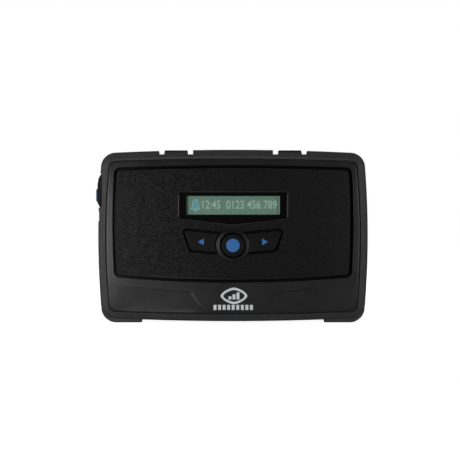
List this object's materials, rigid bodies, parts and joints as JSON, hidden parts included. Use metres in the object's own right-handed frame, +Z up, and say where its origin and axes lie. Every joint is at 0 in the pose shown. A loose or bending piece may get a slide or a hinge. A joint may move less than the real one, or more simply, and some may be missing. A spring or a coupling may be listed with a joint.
{
  "type": "pager",
  "caption": "Landscape pocket pager with a one-line display, arrow keys round a select key, a side call key, a rubber bumper, a sliding battery door and a sprung belt clip.",
  "frame": {"origin": "middle of the footprint, on the surface that the two feet stand on", "axes": "+X to the viewer's right, +Z up, and the display faces -Y"},
  "size_m": [0.0851, 0.025, 0.054],
  "materials": {
    "bumper_rubber": "matte",
    "guard_rubber": "matte",
    "flap_plastic": "matte",
    "bezel_plastic": "satin",
    "case_plastic": "fine texture",
    "clip_plastic": "fine texture",
    "seal_rubber": "matte",
    "mat_rubber": "matte",
    "foam": "matte",
    "black_steel": "black oxide",
    "steel": "brushed",
    "spring_steel": "drawn wire",
    "tinplate": "satin",
    "brass": "machined",
    "gilt": "plated",
    "tungsten": "sintered",
    "panel_plastic": "brushed leather grain",
    "window": "gloss",
    "mask_print": "printed",
    "display_glass": "satin",
    "light_guide": "frosted",
    "inner_plastic": "moulded",
    "ring_plastic": "satin",
    "key_plastic": "satin",
    "blue_plastic": "satin",
    "board_laminate": "solder mask",
    "white_plastic": "moulded",
    "battery_wrap": "printed film"
  },
  "bodies": {
    "case": {"bumper": "bumper_rubber", "side_guard": "guard_rubber", "front_cover": "bezel_plastic", "rear_cover": "case_plastic", "case_seal": "seal_rubber", "keypad_mat": "mat_rubber", "motor_boot": "seal_rubber", "sounder_gasket": "foam", "case_screws": "black_steel", "board_screws": "steel", "flap_pin": "steel", "clip_pin": "steel", "clip_spring": "spring_steel", "motor_can": "steel", "crystal": "steel", "rf_shield": "tinplate", "snap_domes": "steel", "port_socket": "tinplate", "case_inserts": "brass", "contact_blades": "gilt", "loop_antenna": "gilt", "faceplate": "panel_plastic", "display_lens": "window", "lens_mask": "mask_print", "lcd_glass": "display_glass", "lcd_backlight": "light_guide", "lcd_frame": "inner_plastic", "lcd_connector": "mat_rubber", "select_ring": "ring_plastic", "main_board": "board_laminate", "processor": "inner_plastic", "sounder": "inner_plastic", "call_switch": "inner_plastic", "call_plunger": "white_plastic", "contact_block": "white_plastic", "battery_pack": "battery_wrap"},
    "left_key": {"key_left": "key_plastic", "arrow_left": "blue_plastic"},
    "right_key": {"key_right": "key_plastic", "arrow_right": "blue_plastic"},
    "select_key": {"key_select": "key_plastic", "select_disc": "blue_plastic"},
    "call_button": {"call_key": "blue_plastic"},
    "flap": {"port_flap": "flap_plastic"},
    "door": {"battery_door": "case_plastic"},
    "clip": {"belt_clip": "clip_plastic"},
    "rotor": {"motor_shaft": "steel", "motor_weight": "tungsten"}
  },
  "joints": [
    {"name": "left_key_press", "type": "slide", "parent": "case", "child": "left_key", "axis": [0, 1, 0], "range_m": [0, 0.0004], "stiffness_N_per_m": 2000, "springref_m": -0.0001, "deforming": ["keypad_mat", "snap_domes"]},
    {"name": "right_key_press", "type": "slide", "parent": "case", "child": "right_key", "axis": [0, 1, 0], "range_m": [0, 0.0004], "stiffness_N_per_m": 2000, "springref_m": -0.0001, "deforming": ["keypad_mat", "snap_domes"]},
    {"name": "select_key_press", "type": "slide", "parent": "case", "child": "select_key", "axis": [0, 1, 0], "range_m": [0, 0.0004], "stiffness_N_per_m": 2000, "springref_m": -0.0001, "deforming": ["keypad_mat", "snap_domes"]},
    {"name": "call_key_press", "type": "slide", "parent": "case", "child": "call_button", "axis": [1, 0, 0], "range_m": [0, 0.0004], "stiffness_N_per_m": 2000, "springref_m": -0.0001, "deforming": ["call_plunger"]},
    {"name": "flap_hinge", "type": "hinge", "parent": "case", "child": "flap", "pos_m": [-0.0414, -0.00358, 0.0262], "axis": [0, -1, 0], "range_deg": [0, 105]},
    {"name": "door_slide", "type": "slide", "parent": "case", "child": "door", "axis": [1, 0, 0], "range_m": [0, 0.056]},
    {"name": "clip_hinge", "type": "hinge", "parent": "case", "child": "clip", "pos_m": [0, 0.00928, 0.045], "axis": [1, 0, 0], "range_deg": [0, 22], "stiffness_Nm_per_rad": 0.55, "springref_deg": -2.06, "deforming": ["clip_spring"]},
    {"name": "rotor_spin", "type": "hinge", "parent": "case", "child": "rotor", "pos_m": [-0.028, -0.00112, 0.0445], "axis": [1, 0, 0], "continuous": true}
  ]
}
